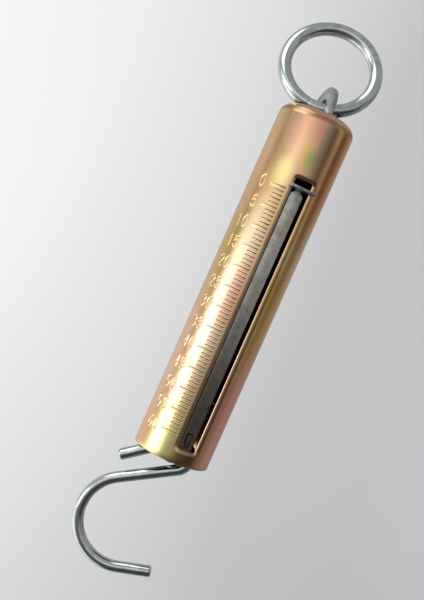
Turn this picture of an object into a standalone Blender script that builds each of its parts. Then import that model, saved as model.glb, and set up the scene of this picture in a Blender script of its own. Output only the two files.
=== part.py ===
"""Tubular hanging spring scale: slotted tube, extension spring, pointer strip, ring and hook.

The origin is the centre of the eye that the ring passes through, on the tube's axis.
+Z is up, the slot and the scale face -Y, and all lengths are in metres.
"""
import math

import bmesh
import bpy
from mathutils import Matrix, Vector

MM = 0.001

# Tube
TUBE_RADIUS = 16.0 * MM
TUBE_WALL = 1.2 * MM
TUBE_LENGTH = 150.0 * MM
SHOULDER_RADIUS = 5.0 * MM
TUBE_STEPS = 56

# Slot, measured down from the tube's top
SLOT_WIDTH = 9.0 * MM
SLOT_TOP = 28.4 * MM
SLOT_BOTTOM = 143.6 * MM
SLOT_CORNER = 0.8 * MM

# Plates and the eyes in them, measured down from the tube's top
PLATE_THICKNESS = 1.8 * MM
EYE_ABOVE_TUBE = 2.9 * MM
RING_EYE_RADIUS = 4.1 * MM
SPRING_EYE_RADIUS = 2.3 * MM
UPPER_SPRING_EYE = 12.5 * MM
LOWER_SPRING_EYE = 133.5 * MM
HOOK_EYE = 145.4 * MM
HOOK_EYE_RADIUS = 4.5 * MM
LUG_TOP = 137.6 * MM
LUG_BOTTOM = 142.9 * MM

# Suspension plate
HEAD_RADIUS = 10.0 * MM
HEAD_DROP = 0.5 * MM
WING_REACH = 12.6 * MM
WING_CHAMFER = 1.6 * MM
WING_HEIGHT = 3.7 * MM
TONGUE_RADIUS = 6.0 * MM
TONGUE_CENTRE = 11.0 * MM

# Load plate
LOAD_PLATE_TOP = 129.3 * MM
LOAD_PLATE_END = 153.6 * MM
LOAD_PLATE_FOOT = 6.8 * MM
LOAD_PLATE_BACK = 8.0 * MM
BACK_TOP = 133.0 * MM
BACK_BOTTOM = 142.0 * MM
CROWN_HALF = 5.0 * MM
LUG_SHOULDER = 2.6 * MM
LUG_PROUD = 0.7 * MM

# Cap
CAP_SKIRT_END = 9.0 * MM
CAP_STEPS = 40

# Pointer strip and pointer
STRIP_WIDTH = 5.8 * MM
STRIP_THICKNESS = 1.5 * MM
STRIP_FRONT = 12.8 * MM
STRIP_END = 148.0 * MM
TENON_WIDTH = 2.8 * MM
POINTER_TOP = 31.3 * MM
POINTER_THICKNESS = 1.2 * MM
POINTER_BAR = 11.0 * MM
POINTER_PROUD = 1.7 * MM
STEM_HALF = 3.4 * MM
TENON_INSET = 0.6 * MM
TENON_SHOULDER = 0.5 * MM
TAPER_HEIGHT = 1.4 * MM
STRIP_CORNER = 1.2 * MM

# Spring
SPRING_WIRE = 3.2 * MM
SPRING_MEAN_RADIUS = 9.05 * MM
SPRING_TURNS = 30.5
STEPS_A_TURN = 12
EYE_LOOP = 200.0
EYE_LOOP_STEPS = 10

# Ring
RING_WIRE = 5.5 * MM
RING_OUTER = 43.8 * MM
RING_LEAN = math.radians(11.4)
RING_TILT = math.radians(19.5)

# Hook, a wire of straight runs and arcs in one plane
HOOK_WIRE = 4.8 * MM
HOOK_BEND_OFFSET = 2.3 * MM
HOOK_BEND_DEPTH = 150.0 * MM
HOOK_BEND_RADIUS = 5.8 * MM
HOOK_STUB = 22.7 * MM
HOOK_STUB_HEADING = math.radians(37.4)
HOOK_BEND_ANGLE = math.radians(186.4)
HOOK_SHANK = 25.2 * MM
HOOK_BOWL_RADIUS = 18.6 * MM
HOOK_BOWL_ANGLE = math.radians(165.0)
HOOK_TIP = 14.2 * MM

# The ring and the hook lie in one plane, turned about the tube's axis
WIRE_PLANE_YAW = math.radians(-19.1)

GAP = 0.3 * MM
MERGE = 0.00001
TUBE_TOP = -EYE_ABOVE_TUBE
TUBE_BORE = TUBE_RADIUS - TUBE_WALL
MOUTH_RADIUS = TUBE_RADIUS - SHOULDER_RADIUS

# name: (colour, metallic, roughness)
FINISHES = {
    "yellow_zinc": ((0.72, 0.52, 0.26), 1.0, 0.30),
    "bright_zinc": ((0.62, 0.65, 0.66), 1.0, 0.28),
    "dull_zinc": ((0.42, 0.44, 0.44), 1.0, 0.45),
    "oiled_steel": ((0.06, 0.06, 0.065), 0.9, 0.40),
}


def clear_scene():
    for item in list(bpy.data.objects):
        bpy.data.objects.remove(item, do_unlink=True)


def new_collection(name):
    group = bpy.data.collections.new(name)
    bpy.context.scene.collection.children.link(group)
    return group


def finish(name):
    found = bpy.data.materials.get(name)
    if found:
        return found
    colour, metallic, roughness = FINISHES[name]
    made = bpy.data.materials.new(name)
    made.use_nodes = True
    shader = made.node_tree.nodes["Principled BSDF"]
    shader.inputs["Base Color"].default_value = (*colour, 1.0)
    shader.inputs["Metallic"].default_value = metallic
    shader.inputs["Roughness"].default_value = roughness
    return made


def add(name, data, group, material=None):
    made = bpy.data.objects.new(name, data)
    group.objects.link(made)
    if material:
        data.materials.append(finish(material))
    return made


def add_pivot(name, group, location, rotation):
    pivot = bpy.data.objects.new(name, None)
    pivot.empty_display_size = 5 * MM
    pivot.location = location
    pivot.rotation_euler = rotation
    group.objects.link(pivot)
    return pivot


def below_top(depth):
    return TUBE_TOP - depth


def arc(centre, radius, start, end, steps):
    """Points on an arc, both ends included. Angles in degrees."""
    points = []
    for i in range(steps + 1):
        angle = math.radians(start + (end - start) * i / steps)
        x = centre[0] + radius * math.cos(angle)
        y = centre[1] + radius * math.sin(angle)
        points.append((x, y))
    return points


def circle(centre, radius, steps):
    return arc(centre, radius, 0, 360 * (steps - 1) / steps, steps - 1)


def turned(name, profile, closed, steps, group, material):
    """A profile of (radius, height) points, turned about Z with the Screw modifier."""
    mesh = bpy.data.meshes.new(name)
    points = [(r, 0.0, z) for r, z in profile]
    edges = [(i, i + 1) for i in range(len(points) - 1)]
    if closed:
        edges.append((len(points) - 1, 0))
    mesh.from_pydata(points, edges, [])
    made = add(name, mesh, group, material)
    screw = made.modifiers.new("turn", "SCREW")
    screw.steps = steps
    screw.render_steps = steps
    screw.use_merge_vertices = True
    screw.merge_threshold = MERGE
    screw.use_smooth_shade = True
    return made


def plate(name, outlines, thickness, group, material):
    """A flat plate: the first outline is its edge, the others are holes in it."""
    data = bpy.data.curves.new(name, "CURVE")
    data.dimensions = "2D"
    data.fill_mode = "BOTH"
    data.extrude = thickness / 2
    for outline in outlines:
        spline = data.splines.new("POLY")
        spline.points.add(len(outline) - 1)
        for point, (x, y) in zip(spline.points, outline):
            point.co = (x, y, 0.0, 1.0)
        spline.use_cyclic_u = True
    return add(name, data, group, material)


def wire(name, points, thickness, resolution, group, material):
    """A round wire with flat cut ends along a list of points."""
    data = bpy.data.curves.new(name, "CURVE")
    data.dimensions = "3D"
    data.bevel_depth = thickness / 2
    data.bevel_resolution = resolution
    data.use_fill_caps = True
    spline = data.splines.new("POLY")
    spline.points.add(len(points) - 1)
    for point, place in zip(spline.points, points):
        point.co = (*place, 1.0)
    return add(name, data, group, material)


def box_cutter(name, low, high, group, corner=0.0):
    """A box for cutting, with its edges along Y rounded when corner is given."""
    mesh = bpy.data.meshes.new(name)
    shape = bmesh.new()
    bmesh.ops.create_cube(shape, size=1.0)
    size = [high[i] - low[i] for i in range(3)]
    middle = [(high[i] + low[i]) / 2 for i in range(3)]
    bmesh.ops.scale(shape, vec=size, verts=shape.verts)
    bmesh.ops.translate(shape, vec=middle, verts=shape.verts)
    if corner:
        along_y = [e for e in shape.edges if abs((e.verts[0].co - e.verts[1].co).y) > size[1] / 2]
        bmesh.ops.bevel(shape, geom=along_y, offset=corner, segments=3, profile=0.5, affect="EDGES")
    shape.to_mesh(mesh)
    shape.free()
    made = add(name, mesh, group)
    made.hide_render = True
    made.display_type = "WIRE"
    return made


def cut(target, cutter):
    step = target.modifiers.new("cut", "BOOLEAN")
    step.operation = "DIFFERENCE"
    step.solver = "EXACT"
    step.object = cutter


def stand_in_yz(item):
    """Turns a flat plate so that its own X runs along world Y and its own Y along world Z."""
    item.rotation_euler = (math.radians(90), 0.0, math.radians(90))


def make_case_tube(group, cutters):
    shoulder = below_top(SHOULDER_RADIUS)
    bottom = below_top(TUBE_LENGTH)
    outer = arc((MOUTH_RADIUS, shoulder), SHOULDER_RADIUS, 90, 0, 6)
    inner = arc((MOUTH_RADIUS, shoulder), SHOULDER_RADIUS - TUBE_WALL, 0, 90, 6)
    profile = outer + [(TUBE_RADIUS, bottom), (TUBE_BORE, bottom)] + inner
    tube = turned("case_tube", profile, True, TUBE_STEPS, group, "yellow_zinc")
    low = (-SLOT_WIDTH / 2, -TUBE_RADIUS - 4 * MM, below_top(SLOT_BOTTOM))
    high = (SLOT_WIDTH / 2, -TUBE_RADIUS / 2, below_top(SLOT_TOP))
    cut(tube, box_cutter("slot_cutter", low, high, cutters, SLOT_CORNER))


def make_top_cap(group, cutters):
    """A cup that fits under the spun shoulder, concentric with its curve."""
    curve = SHOULDER_RADIUS - TUBE_WALL - GAP
    shoulder = below_top(SHOULDER_RADIUS)
    skirt_end = below_top(CAP_SKIRT_END)
    outer = arc((MOUTH_RADIUS, shoulder), curve, 90, 0, 5)
    inner = arc((MOUTH_RADIUS, shoulder), curve - TUBE_WALL, 0, 90, 5)
    rim = [(MOUTH_RADIUS + curve, skirt_end), (MOUTH_RADIUS + curve - TUBE_WALL, skirt_end)]
    top = [(0.0, shoulder + curve)]
    under = [(0.0, shoulder + curve - TUBE_WALL)]
    cap = turned("top_cap", top + outer + rim + inner + under, False, CAP_STEPS, group, "bright_zinc")
    half_gap = PLATE_THICKNESS / 2 + GAP
    low = (-half_gap, -HEAD_RADIUS - GAP, skirt_end)
    high = (half_gap, HEAD_RADIUS + GAP, TUBE_TOP)
    cut(cap, box_cutter("slit_cutter", low, high, cutters))


def make_suspension_plate(group):
    """Half-round head with the ring's eye, shoulders under the cap, and a tongue for the spring."""
    cap_under = below_top(2 * (TUBE_WALL + GAP))
    right = [
        (HEAD_RADIUS, cap_under),
        (MOUTH_RADIUS, cap_under),
        (WING_REACH, cap_under - WING_CHAMFER),
        (WING_REACH, cap_under - WING_HEIGHT),
    ]
    left = [(-x, y) for x, y in reversed(right)]
    crown = arc((0.0, -HEAD_DROP), HEAD_RADIUS, 180, 0, 20)
    foot = arc((0.0, below_top(TONGUE_CENTRE)), TONGUE_RADIUS, 0, -180, 10)
    edge = crown + right + foot + left
    ring_eye = circle((0.0, 0.0), RING_EYE_RADIUS, 20)
    spring_eye = circle((0.0, below_top(UPPER_SPRING_EYE)), SPRING_EYE_RADIUS, 14)
    made = plate("suspension_plate", [edge, ring_eye, spring_eye], PLATE_THICKNESS, group, "bright_zinc")
    stand_in_yz(made)


def make_load_plate(group):
    """Holds the spring above and the hook below, and its lug passes through the pointer strip."""
    front = -(STRIP_FRONT - STRIP_THICKNESS - GAP)
    lug_end = -(STRIP_FRONT + LUG_PROUD)
    top = below_top(LOAD_PLATE_TOP)
    foot_centre = below_top(LOAD_PLATE_END - LOAD_PLATE_FOOT)
    crown = [(CROWN_HALF, top), (-CROWN_HALF, top)]
    lug = [
        (front, below_top(LUG_TOP - LUG_SHOULDER)),
        (front, below_top(LUG_TOP)),
        (lug_end, below_top(LUG_TOP)),
        (lug_end, below_top(LUG_BOTTOM)),
        (front, below_top(LUG_BOTTOM)),
    ]
    foot = arc((0.0, foot_centre), LOAD_PLATE_FOOT, 180, 360, 12)
    rear = [(LOAD_PLATE_BACK, below_top(BACK_BOTTOM)), (LOAD_PLATE_BACK, below_top(BACK_TOP))]
    edge = crown + lug + foot + rear
    spring_eye = circle((0.0, below_top(LOWER_SPRING_EYE)), SPRING_EYE_RADIUS, 14)
    hook_eye = circle((0.0, below_top(HOOK_EYE)), HOOK_EYE_RADIUS, 20)
    made = plate("load_plate", [edge, spring_eye, hook_eye], PLATE_THICKNESS, group, "bright_zinc")
    stand_in_yz(made)


def make_index_strip(group):
    """The strip behind the slot, with a tenon for the pointer and a slit for the load plate's lug."""
    half = STRIP_WIDTH / 2
    tenon = TENON_WIDTH / 2
    tenon_top = below_top(POINTER_TOP - TENON_INSET)
    shoulder = below_top(POINTER_TOP + POINTER_THICKNESS + TENON_SHOULDER)
    full_width = shoulder - TAPER_HEIGHT
    end = below_top(STRIP_END)
    round_end = arc((half - STRIP_CORNER, end + STRIP_CORNER), STRIP_CORNER, 0, -90, 3)
    right = [(tenon, tenon_top), (tenon, shoulder), (half, full_width)] + round_end
    left = [(-x, y) for x, y in reversed(right)]
    slit_half = PLATE_THICKNESS / 2 + GAP
    slit_top = below_top(LUG_TOP - GAP)
    slit_bottom = below_top(LUG_BOTTOM + GAP)
    slit = [(-slit_half, slit_top), (slit_half, slit_top), (slit_half, slit_bottom), (-slit_half, slit_bottom)]
    made = plate("index_strip", [right + left, slit], STRIP_THICKNESS, group, "dull_zinc")
    made.rotation_euler = (math.radians(90), 0.0, 0.0)
    made.location = (0.0, -(STRIP_FRONT - STRIP_THICKNESS / 2), 0.0)


def make_pointer(group):
    """A flat T: the bar lies outside the tube, and the forked stem straddles the strip's tenon."""
    bar = POINTER_BAR / 2
    bar_front = -(TUBE_RADIUS + POINTER_PROUD)
    bar_back = -(TUBE_RADIUS + GAP)
    notch = TENON_WIDTH / 2 + GAP
    notch_end = -(STRIP_FRONT + GAP)
    stem_end = -(STRIP_FRONT - STRIP_THICKNESS)
    right = [(bar, bar_front), (bar, bar_back), (STEM_HALF, bar_back), (STEM_HALF, stem_end), (notch, stem_end), (notch, notch_end)]
    left = [(-x, y) for x, y in reversed(right)]
    made = plate("pointer", [right + left], POINTER_THICKNESS, group, "bright_zinc")
    made.location = (0.0, 0.0, below_top(POINTER_TOP + POINTER_THICKNESS / 2))


def spring_points():
    """A half loop through the upper eye, the close-wound body, and a half loop through the lower eye."""
    radius = SPRING_MEAN_RADIUS
    body_top = below_top(UPPER_SPRING_EYE) - radius
    body_bottom = below_top(LOWER_SPRING_EYE) + radius
    points = []
    for i in range(EYE_LOOP_STEPS):
        angle = math.radians(EYE_LOOP - EYE_LOOP * i / EYE_LOOP_STEPS)
        points.append((radius * math.cos(angle), 0.0, body_top + radius * math.sin(angle)))
    steps = round(SPRING_TURNS * STEPS_A_TURN)
    for i in range(steps + 1):
        share = i / steps
        angle = 2 * math.pi * SPRING_TURNS * share
        height = body_top + (body_bottom - body_top) * share
        points.append((radius * math.cos(angle), radius * math.sin(angle), height))
    for i in range(1, EYE_LOOP_STEPS + 1):
        angle = math.radians(180.0 + EYE_LOOP * i / EYE_LOOP_STEPS)
        points.append((radius * math.cos(angle), 0.0, body_bottom + radius * math.sin(angle)))
    return points


def make_main_spring(group):
    wire("main_spring", spring_points(), SPRING_WIRE, 2, group, "oiled_steel")


def make_hanging_ring(group):
    """The ring hangs in the eye, leaning to one side and tilted back."""
    pivot = add_pivot("ring_pivot", group, (0.0, 0.0, 0.0), (-RING_TILT, 0.0, WIRE_PLANE_YAW))
    centre_radius = (RING_OUTER - RING_WIRE) / 2
    bpy.ops.mesh.primitive_torus_add(
        major_radius=centre_radius, minor_radius=RING_WIRE / 2, major_segments=44, minor_segments=12
    )
    made = bpy.context.object
    made.name = "hanging_ring"
    made.data.name = "hanging_ring"
    made.data.materials.append(finish("bright_zinc"))
    made.data.shade_smooth()
    for owner in list(made.users_collection):
        owner.objects.unlink(made)
    group.objects.link(made)
    made.parent = pivot
    made.rotation_euler = (math.radians(90), 0.0, 0.0)
    made.location = (-centre_radius * math.sin(RING_LEAN), 0.0, centre_radius * math.cos(RING_LEAN))


def walk(moves):
    """Follows straight runs and arcs in a plane. A move is ('run', length) or ('turn', radius, angle, steps)."""
    place = Vector((0.0, 0.0))
    heading = HOOK_STUB_HEADING
    points = [place.copy()]
    for move in moves:
        if move[0] == "run":
            place = place + move[1] * Vector((math.cos(heading), math.sin(heading)))
            points.append(place.copy())
            continue
        radius, angle, steps = move[1:]
        side = math.copysign(1.0, angle)
        centre = place + side * radius * Vector((-math.sin(heading), math.cos(heading)))
        start = place - centre
        for i in range(1, steps + 1):
            points.append(centre + Matrix.Rotation(angle * i / steps, 2) @ start)
        place = points[-1].copy()
        heading += angle
    return points


def make_load_hook(group):
    """The wire of the hook: stub, U-shaped eye, shank, bowl and tip. Its pivot is the middle of the eye's bend."""
    moves = [
        ("run", HOOK_STUB),
        ("turn", HOOK_BEND_RADIUS, -HOOK_BEND_ANGLE, 14),
        ("run", HOOK_SHANK),
        ("turn", HOOK_BOWL_RADIUS, HOOK_BOWL_ANGLE, 22),
        ("run", HOOK_TIP),
    ]
    flat = walk(moves)
    to_side = Vector((math.sin(HOOK_STUB_HEADING), -math.cos(HOOK_STUB_HEADING)))
    bend_centre = flat[1] + HOOK_BEND_RADIUS * to_side
    points = [(p.x - bend_centre.x, 0.0, p.y - bend_centre.y) for p in flat]
    across = Matrix.Rotation(WIRE_PLANE_YAW, 3, "Z") @ Vector((HOOK_BEND_OFFSET, 0.0, 0.0))
    place = (across.x, across.y, below_top(HOOK_BEND_DEPTH))
    pivot = add_pivot("hook_pivot", group, place, (0.0, 0.0, WIRE_PLANE_YAW))
    made = wire("load_hook", points, HOOK_WIRE, 3, group, "bright_zinc")
    made.parent = pivot


def main():
    clear_scene()
    parts = new_collection("spring_scale")
    cutters = new_collection("cutters")
    make_case_tube(parts, cutters)
    make_top_cap(parts, cutters)
    make_suspension_plate(parts)
    make_main_spring(parts)
    make_load_plate(parts)
    make_index_strip(parts)
    make_pointer(parts)
    make_hanging_ring(parts)
    make_load_hook(parts)
    bpy.context.view_layer.update()


main()
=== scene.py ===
import math

import bmesh
import bpy
import numpy as np
from mathutils import Matrix, Vector


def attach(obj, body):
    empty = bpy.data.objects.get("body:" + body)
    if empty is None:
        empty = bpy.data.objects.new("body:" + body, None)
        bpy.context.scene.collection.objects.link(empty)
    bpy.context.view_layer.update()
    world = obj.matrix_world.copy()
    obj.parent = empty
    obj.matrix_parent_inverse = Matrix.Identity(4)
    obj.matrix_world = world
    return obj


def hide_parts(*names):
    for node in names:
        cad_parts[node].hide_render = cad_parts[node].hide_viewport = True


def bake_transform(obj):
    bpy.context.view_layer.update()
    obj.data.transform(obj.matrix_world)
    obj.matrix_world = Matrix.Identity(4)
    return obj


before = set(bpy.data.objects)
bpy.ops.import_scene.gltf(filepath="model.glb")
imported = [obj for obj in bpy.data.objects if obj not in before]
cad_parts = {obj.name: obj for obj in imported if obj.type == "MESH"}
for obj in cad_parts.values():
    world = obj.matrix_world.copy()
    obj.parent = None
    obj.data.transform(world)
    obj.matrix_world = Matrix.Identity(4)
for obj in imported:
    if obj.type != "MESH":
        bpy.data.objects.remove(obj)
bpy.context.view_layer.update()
mm = 0.001
toMm = 1000.0  # turns metres into millimetres in the materials
tubeTop = -2.9 * mm  # height of the tube's top in the frame
print("frame loaded")


# wraps a socket, so that shader maths reads as plain expressions
class Sock:
    def __init__(self, tree, out):
        self.tree = tree
        self.out = out

    def op(self, kind, a, b=None):
        node = self.tree.nodes.new("ShaderNodeMath")
        node.operation = kind
        for slot, value in enumerate((a, b)):
            if isinstance(value, Sock):
                self.tree.links.new(value.out, node.inputs[slot])
            elif value is not None:
                node.inputs[slot].default_value = value
        return Sock(self.tree, node.outputs[0])

    def __add__(self, other):
        return self.op("ADD", self, other)

    def __radd__(self, other):
        return self.op("ADD", other, self)

    def __sub__(self, other):
        return self.op("SUBTRACT", self, other)

    def __rsub__(self, other):
        return self.op("SUBTRACT", other, self)

    def __mul__(self, other):
        return self.op("MULTIPLY", self, other)

    def __rmul__(self, other):
        return self.op("MULTIPLY", other, self)

    def __truediv__(self, other):
        return self.op("DIVIDE", self, other)

    def __rtruediv__(self, other):
        return self.op("DIVIDE", other, self)

    def __pow__(self, other):
        return self.op("POWER", self, other)

    def __rpow__(self, other):
        return self.op("POWER", other, self)

    def __neg__(self):
        return self.op("MULTIPLY", self, -1.0)

    # held between 0 and 1
    def clamp(self):
        return self.op("MINIMUM", self.op("MAXIMUM", self, 0.0), 1.0)

    def atan2(self, other):
        return self.op("ARCTAN2", self, other)

    def absolute(self):
        return self.op("ABSOLUTE", self)

    # 0 below low, 1 above high, smooth between
    def rise(self, low, high):
        t = ((self - low) / (high - low)).clamp()
        return t * t * (3.0 - 2.0 * t)

    # 1 at the middle, falling smoothly to 0 at the given distance
    def bump(self, middle, reach):
        t = ((self - middle).absolute() / reach).clamp()
        return 1.0 - t * t * (3.0 - 2.0 * t)


# a node tree with one method for every node that isn't maths
class Shader:
    def __init__(self, tree):
        self.tree = tree

    # out is the number of the output to give back, or None for all of them
    def add(self, kind, settings=None, values=None, out=0):
        node = self.tree.nodes.new(kind)
        for key, value in (settings or {}).items():
            if key == "stops":
                self.fillRamp(node.color_ramp, value)
            else:
                setattr(node, key, value)
        for key, value in (values or {}).items():
            if isinstance(value, Sock):
                self.tree.links.new(value.out, node.inputs[key])
            else:
                node.inputs[key].default_value = value
        outputs = [Sock(self.tree, output) for output in node.outputs]
        return outputs[out] if outputs and out is not None else outputs

    def fillRamp(self, ramp, stops):
        while len(ramp.elements) > 1:
            ramp.elements.remove(ramp.elements[-1])
        for place, (position, colour) in enumerate(stops):
            stop = ramp.elements[0] if place == 0 else ramp.elements.new(position)
            stop.position = position
            stop.color = (*colour, 1.0) if isinstance(colour, tuple) else (colour, colour, colour, 1.0)

    def mix(self, share, a, b):
        a, b = [(*v, 1.0) if isinstance(v, tuple) else v for v in (a, b)]
        return self.add("ShaderNodeMix", {"data_type": "RGBA"}, {0: share, 6: a, 7: b}, out=2)

    def ramp(self, value, stops):
        return self.add("ShaderNodeValToRGB", {"stops": stops}, {0: value})

    def noise(self, vector, scale, detail, rough, distortion=0.0):
        return self.add("ShaderNodeTexNoise", None, {
            "Vector": vector, "Scale": scale, "Detail": detail, "Roughness": rough, "Distortion": distortion,
        })

    # object coordinates, stretched by a factor along each axis
    def place(self, stretch=(1.0, 1.0, 1.0)):
        coords = self.add("ShaderNodeTexCoord", out=3)
        return self.add("ShaderNodeVectorMath", {"operation": "MULTIPLY"}, {0: coords, 1: stretch})

    def axes(self, vector):
        return self.add("ShaderNodeSeparateXYZ", None, {0: vector}, out=None)

    def join(self, x, y, z):
        return self.add("ShaderNodeCombineXYZ", None, {0: x, 1: y, 2: z})

    def raised(self, height, distance, strength):
        values = {"Height": height, "Distance": distance, "Strength": strength}
        return self.add("ShaderNodeBump", None, values)


def newMaterial(name):
    material = bpy.data.materials.new(name)
    material.use_nodes = True
    material.node_tree.nodes.clear()
    return material, Shader(material.node_tree)


# the surface shader: constants go on its own sockets, the rest are links
def surface(shader, values):
    skin = shader.add("ShaderNodeBsdfPrincipled", None, values)
    shader.add("ShaderNodeOutputMaterial", None, {0: skin})


def newPiece(name, points, faces, material, sharpAngle):
    mesh = bpy.data.meshes.new(name)
    mesh.from_pydata([tuple(p) for p in points], [], faces)
    mesh.validate()
    mesh.update()
    return showMesh(name, mesh, material, sharpAngle)


# an edge sharper than the angle, in degrees, isn't shaded smooth
def showMesh(name, mesh, material, sharpAngle):
    mesh.materials.clear()
    mesh.materials.append(material)
    mesh.polygons.foreach_set("use_smooth", [True] * len(mesh.polygons))
    mesh.set_sharp_from_angle(angle=math.radians(sharpAngle))
    piece = bpy.data.objects.new(name, mesh)
    bpy.context.scene.collection.objects.link(piece)
    return piece


# directions carried along a line without twist: one (side, up) pair a point
def carriedFrames(line):
    ahead = np.gradient(line, axis=0)
    ahead /= np.linalg.norm(ahead, axis=1)[:, None]
    aslant = [0.3, 0.2, 0.93]  # no wire starts this way
    side = np.cross(ahead[0], aslant)
    side /= np.linalg.norm(side)
    frames = []
    for direction in ahead:
        side = side - direction * np.dot(side, direction)
        side /= np.linalg.norm(side)
        frames.append((side, np.cross(direction, side)))
    return frames


# a round wire along a line; radii holds one radius a point, and the ends close to a point on the axis
def sweptWire(name, line, radii, sides, material, sharpAngle):
    line = np.array(line, float)
    turn = np.linspace(0, 2 * math.pi, sides, endpoint=False)
    points, faces = [], []
    for centre, (side, up), radius in zip(line, carriedFrames(line), radii):
        for angle in turn:
            points.append(centre + radius * (math.cos(angle) * side + math.sin(angle) * up))
    rings = len(line)
    for i in range(rings - 1):
        for j in range(sides):
            k = (j + 1) % sides
            faces.append((i * sides + j, i * sides + k, (i + 1) * sides + k, (i + 1) * sides + j))
    for ring, centre in ((0, line[0]), (rings - 1, line[-1])):
        points.append(centre)
        hub = len(points) - 1
        for j in range(sides):
            k = (j + 1) % sides
            pair = (ring * sides + k, ring * sides + j) if ring == 0 else (ring * sides + j, ring * sides + k)
            faces.append((*pair, hub))
    return newPiece(name, points, faces, material, sharpAngle)


# rounds the edges of a wire's two cut ends: rings that step in, and a last one on the flat end
def roundedEnds(line, radius, bevel, steps):
    line = [np.array(p, float) for p in line]
    radii = [radius] * len(line)
    proudEnd = 0.001 * mm  # keeps the last ring apart from the one before
    for atStart in (True, False):
        if atStart:
            line.reverse()
            radii.reverse()
        end = line.pop()
        radii.pop()
        ahead = (end - line[-1]) / np.linalg.norm(end - line[-1])
        for i in range(steps + 1):
            angle = math.radians(90) * i / steps
            line.append(end - ahead * bevel * (1 - math.sin(angle)))
            radii.append(radius - bevel * (1 - math.cos(angle)))
        line.append(end + ahead * proudEnd)
        radii.append((radius - bevel) * 0.5)
        if atStart:
            line.reverse()
            radii.reverse()
    return line, radii


# what counts as one point, in mm, and as a flat, rounded or sharp edge, in degrees
plateEdges = {"weld": 0.002, "flatBelow": 1.0, "roundAbove": 50.0, "sharpAbove": 32.0}


# takes a flat plate from the frame and gives it the rounded edges of sheared sheet
def shearedPlate(name, node, body, bevel, material, steps=2):
    edges = plateEdges
    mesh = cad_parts[node].data.copy()
    shape = bmesh.new()
    shape.from_mesh(mesh)
    bmesh.ops.remove_doubles(shape, verts=shape.verts, dist=edges["weld"] * mm)
    flat = math.radians(edges["flatBelow"])
    bmesh.ops.dissolve_limit(shape, angle_limit=flat, verts=shape.verts, edges=shape.edges)
    steep = math.radians(edges["roundAbove"])
    rims = [e for e in shape.edges if len(e.link_faces) == 2 and e.calc_face_angle() > steep]
    bmesh.ops.bevel(shape, geom=rims, offset=bevel, segments=steps, profile=0.5,
                    affect="EDGES", clamp_overlap=True)
    shape.to_mesh(mesh)
    shape.free()
    mesh.name = name
    piece = showMesh(name, mesh, material, edges["sharpAbove"])
    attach(piece, body)
    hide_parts(node)


yellowZincLook = {
    "gold": (0.80, 0.51, 0.24),
    "straw": (0.88, 0.66, 0.40),
    "peach": (0.86, 0.54, 0.34),
    "pink": (0.80, 0.38, 0.26),
    "olive": (0.66, 0.47, 0.18),
    # dark colour for grime in the stamped marks and for the painted shadow in the mouth
    "grimeAndShade": (0.20, 0.11, 0.04),
    # painted shade for the slot's rolled edge
    "lipShade": (0.50, 0.40, 0.26),
    "fleck": (1.0, 0.86, 0.56),
    "figureHighlight": (1.0, 0.86, 0.58),
    # painted shade for the inner face of the tube
    "bore": (0.16, 0.13, 0.08),
    "calm": 0.45,  # how far the drift of hue is drawn back to gold
    "filmScale": 58.0, "mottleScale": 420.0, "linesAround": 1.4, "linesDown": 0.012,
    "scuffAround": 0.35, "scuffDown": 1.9,
    # how much of its colour each thing takes
    "darkeningShare": 0.48, "moreBelow": 0.20, "mouthShadowShare": 0.8, "figureHighlightShare": 0.30, "lipShadeShare": 0.6,
    "boreShadeShare": 0.75,
    "roughness": 0.17, "linesRough": 0.12, "mottleRough": 0.10, "darkeningRough": 0.18, "scuffRough": 0.10,
    "reliefDepth": 0.02, "relief": 0.35,
    # angle from the slot in degrees, depth in mm, reach in degrees, reach in mm, colour, strength
    "tintsAndPaintedHighlight": [
        (-22, 10, 44, 24, (0.84, 0.44, 0.30), 0.85),
        (-4, 8, 22, 16, (0.80, 0.36, 0.27), 0.60),
        (-18, 22, 26, 16, (1.00, 0.62, 0.36), 0.85),
        (-36, 28, 19, 9, (1.00, 0.86, 0.34), 0.95),
        (-15, 19, 12, 8, (0.96, 0.60, 0.18), 0.80),
        (-6, 20, 11, 6.5, (0.36, 0.58, 0.18), 0.75),
        (6, 12, 13, 20, (0.46, 0.36, 0.28), 0.80),
        # this pale patch on the lit side is a painted highlight: it whitens the window's reflection there
        (-38, 82, 30, 52, (0.92, 0.78, 0.58), 0.75),
        (-44, 148, 38, 26, (0.90, 0.86, 0.36), 0.90),
        (46, 128, 48, 50, (0.84, 0.38, 0.28), 0.95),
        (40, 22, 34, 44, (0.74, 0.32, 0.13), 0.90),
        (-82, 104, 28, 36, (0.92, 0.56, 0.38), 0.85),
        (-80, 30, 26, 22, (0.88, 0.50, 0.28), 0.60),
        (-28, 80, 20, 22, (0.90, 0.44, 0.26), 0.65),
        (-74, 62, 24, 20, (0.66, 0.52, 0.16), 0.70),
        (-84, 142, 24, 14, (0.94, 0.46, 0.26), 0.70),
        (30, 82, 26, 40, (0.70, 0.42, 0.10), 0.75),
        (150, 60, 60, 50, (0.90, 0.50, 0.32), 0.60),
        (210, 120, 50, 36, (0.62, 0.60, 0.20), 0.60),
        (110, 110, 40, 40, (0.92, 0.66, 0.26), 0.60),
        (250, 40, 40, 34, (0.84, 0.42, 0.30), 0.60),
    ],
}


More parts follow.
